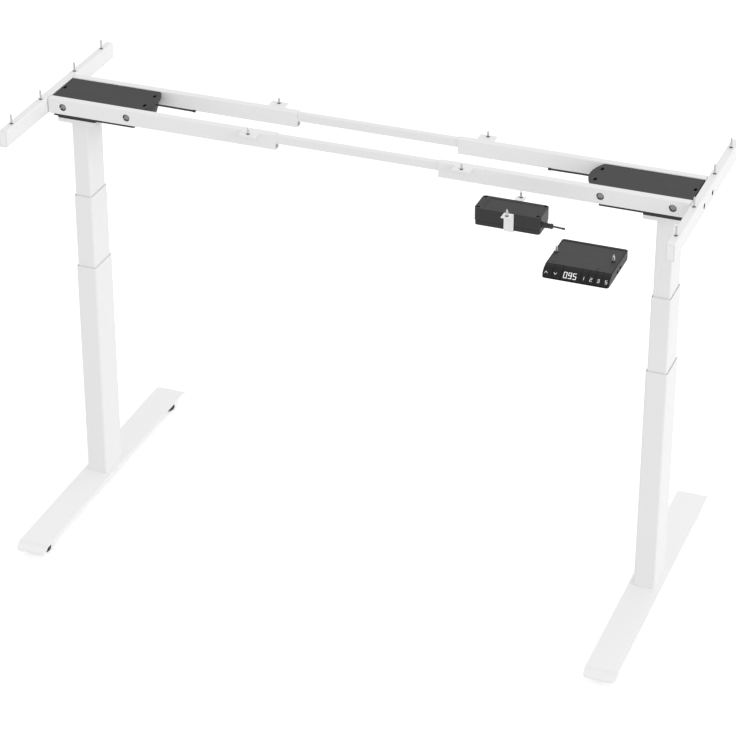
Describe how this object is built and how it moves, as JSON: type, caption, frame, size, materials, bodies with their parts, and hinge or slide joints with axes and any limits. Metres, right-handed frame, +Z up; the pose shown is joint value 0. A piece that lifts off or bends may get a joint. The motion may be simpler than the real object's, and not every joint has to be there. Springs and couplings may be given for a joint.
{
  "type": "standing desk frame",
  "caption": "Electric sit-stand desk frame with three-stage lifting columns, telescopic cross beams, flat feet, control box and handset, ready for a desktop",
  "frame": {"origin": "on the floor, under the middle of the frame with its handset", "axes": "+X to the right along the desk, +Y to the back, +Z up; the handset is at the front right"},
  "size_m": [1.376, 0.7698, 0.9465],
  "materials": {
    "white_paint": "fine-textured white powder coat",
    "bar_paint": "smooth white paint, rubbed by sliding",
    "cap_plastic": "matt white moulded plastic",
    "nylon": "natural nylon, lightly greased",
    "glide_plastic": "black hard rubber on a steel stud",
    "black_plastic": "matt black moulded plastic",
    "cover_plastic": "finely grained dark grey plastic",
    "gloss_black": "glossy black panel",
    "motor_steel": "zinc-plated motor can and die-cast gearbox",
    "screw_steel": "greased machined steel",
    "bolt_steel": "zinc-plated steel",
    "cable_rubber": "soft black cable sheath"
  },
  "bodies": {
    "base_left": {"foot_left": "white_paint", "column_outer_left": "white_paint", "outer_guides_left": "nylon", "lift_screw_left": "screw_steel", "foot_bolts_left": "bolt_steel"},
    "middle_left": {"column_middle_left": "white_paint", "middle_guides_left": "nylon"},
    "top_left": {"column_inner_left": "white_paint", "lift_nut_left": "nylon", "motor_tray_left": "black_plastic", "motor_left": "motor_steel", "motor_cover_left": "cover_plastic", "beam_front_left": "white_paint", "beam_rear_left": "white_paint", "frame_bolts_left": "bolt_steel", "side_bracket_left": "white_paint", "end_caps_left": "cap_plastic", "desk_screws_left": "bolt_steel", "motor_cable_left": "cable_rubber"},
    "spindle_left": {"spindle_tube_left": "screw_steel"},
    "drive_left": {"drive_shaft_left": "screw_steel"},
    "glide_front_left": {"glide_front_left": "glide_plastic"},
    "glide_rear_left": {"glide_rear_left": "glide_plastic"},
    "base_right": {"foot_right": "white_paint", "column_outer_right": "white_paint", "outer_guides_right": "nylon", "lift_screw_right": "screw_steel", "foot_bolts_right": "bolt_steel"},
    "middle_right": {"column_middle_right": "white_paint", "middle_guides_right": "nylon"},
    "top_right": {"column_inner_right": "white_paint", "lift_nut_right": "nylon", "motor_tray_right": "black_plastic", "motor_right": "motor_steel", "motor_cover_right": "cover_plastic", "beam_front_right": "white_paint", "beam_rear_right": "white_paint", "frame_bolts_right": "bolt_steel", "side_bracket_right": "white_paint", "end_caps_right": "cap_plastic", "desk_screws_right": "bolt_steel", "motor_cable_right": "cable_rubber", "control_box_base": "black_plastic", "control_box_lid": "cover_plastic", "box_strap": "white_paint", "box_cable": "cable_rubber", "handset_body": "cover_plastic", "handset_display": "gloss_black"},
    "spindle_right": {"spindle_tube_right": "screw_steel"},
    "drive_right": {"drive_shaft_right": "screw_steel"},
    "glide_front_right": {"glide_front_right": "glide_plastic"},
    "glide_rear_right": {"glide_rear_right": "glide_plastic"},
    "bars": {"bar_front": "bar_paint", "bar_rear": "bar_paint"},
    "key_up": {"key_up": "gloss_black"},
    "key_down": {"key_down": "gloss_black"},
    "key_one": {"key_one": "gloss_black"},
    "key_two": {"key_two": "gloss_black"},
    "key_three": {"key_three": "gloss_black"},
    "key_save": {"key_save": "gloss_black"}
  },
  "joints": [
    {"name": "lift_left_lower", "type": "slide", "parent": "base_left", "child": "middle_left", "axis": [0, 0, 1], "range_m": [-0.155, 0.165]},
    {"name": "lift_left_upper", "type": "slide", "parent": "middle_left", "child": "top_left", "axis": [0, 0, 1], "range_m": [-0.155, 0.165]},
    {"name": "width_left", "type": "slide", "parent": "top_left", "child": "bars", "axis": [1, 0, 0], "range_m": [-0.13, 0.11]},
    {"name": "width_right", "type": "slide", "parent": "bars", "child": "top_right", "axis": [1, 0, 0], "range_m": [-0.13, 0.11]},
    {"name": "lift_right_upper", "type": "slide", "parent": "top_right", "child": "middle_right", "axis": [0, 0, 1], "range_m": [-0.165, 0.155]},
    {"name": "lift_right_lower", "type": "slide", "parent": "middle_right", "child": "base_right", "axis": [0, 0, 1], "range_m": [-0.165, 0.155]},
    {"name": "spindle_left_spin", "type": "hinge", "parent": "middle_left", "child": "spindle_left", "pos_m": [-0.6165, 0.02786, 0.5], "axis": [0, 0, 1], "range_deg": [-6975, 7425]},
    {"name": "drive_left_spin", "type": "hinge", "parent": "top_left", "child": "drive_left", "pos_m": [-0.6165, 0.02786, 0.5], "axis": [0, 0, 1], "range_deg": [-6975, 7425]},
    {"name": "glide_front_left_screw", "type": "slide", "parent": "base_left", "child": "glide_front_left", "axis": [0, 0, -1], "range_m": [0, 0.01]},
    {"name": "glide_rear_left_screw", "type": "slide", "parent": "base_left", "child": "glide_rear_left", "axis": [0, 0, -1], "range_m": [0, 0.01]},
    {"name": "spindle_right_spin", "type": "hinge", "parent": "middle_right", "child": "spindle_right", "pos_m": [0.6165, 0.02786, 0.5], "axis": [0, 0, 1], "range_deg": [-6975, 7425]},
    {"name": "drive_right_spin", "type": "hinge", "parent": "top_right", "child": "drive_right", "pos_m": [0.6165, 0.02786, 0.5], "axis": [0, 0, 1], "range_deg": [-6975, 7425]},
    {"name": "glide_front_right_screw", "type": "slide", "parent": "base_right", "child": "glide_front_right", "axis": [0, 0, -1], "range_m": [0, 0.01]},
    {"name": "glide_rear_right_screw", "type": "slide", "parent": "base_right", "child": "glide_rear_right", "axis": [0, 0, -1], "range_m": [0, 0.01]},
    {"name": "key_up_press", "type": "slide", "parent": "top_right", "child": "key_up", "axis": [0, 0.549, -0.8358], "range_m": [0, 0.0006], "stiffness_N_per_m": 1500, "springref_m": -0.0005},
    {"name": "key_down_press", "type": "slide", "parent": "top_right", "child": "key_down", "axis": [0, 0.549, -0.8358], "range_m": [0, 0.0006], "stiffness_N_per_m": 1500, "springref_m": -0.0005},
    {"name": "key_one_press", "type": "slide", "parent": "top_right", "child": "key_one", "axis": [0, 0.549, -0.8358], "range_m": [0, 0.0006], "stiffness_N_per_m": 1500, "springref_m": -0.0005},
    {"name": "key_two_press", "type": "slide", "parent": "top_right", "child": "key_two", "axis": [0, 0.549, -0.8358], "range_m": [0, 0.0006], "stiffness_N_per_m": 1500, "springref_m": -0.0005},
    {"name": "key_three_press", "type": "slide", "parent": "top_right", "child": "key_three", "axis": [0, 0.549, -0.8358], "range_m": [0, 0.0006], "stiffness_N_per_m": 1500, "springref_m": -0.0005},
    {"name": "key_save_press", "type": "slide", "parent": "top_right", "child": "key_save", "axis": [0, 0.549, -0.8358], "range_m": [0, 0.0006], "stiffness_N_per_m": 1500, "springref_m": -0.0005}
  ],
  "couplings": [
    {"joint": "lift_left_upper", "follows": "lift_left_lower", "ratio": 1},
    {"joint": "lift_right_upper", "follows": "lift_left_lower", "ratio": -1},
    {"joint": "lift_right_lower", "follows": "lift_left_lower", "ratio": -1},
    {"joint": "spindle_left_spin", "follows": "lift_left_lower", "rad_per_m": 785.4},
    {"joint": "drive_left_spin", "follows": "lift_left_lower", "rad_per_m": 785.4},
    {"joint": "spindle_right_spin", "follows": "lift_left_lower", "rad_per_m": 785.4},
    {"joint": "drive_right_spin", "follows": "lift_left_lower", "rad_per_m": 785.4}
  ]
}
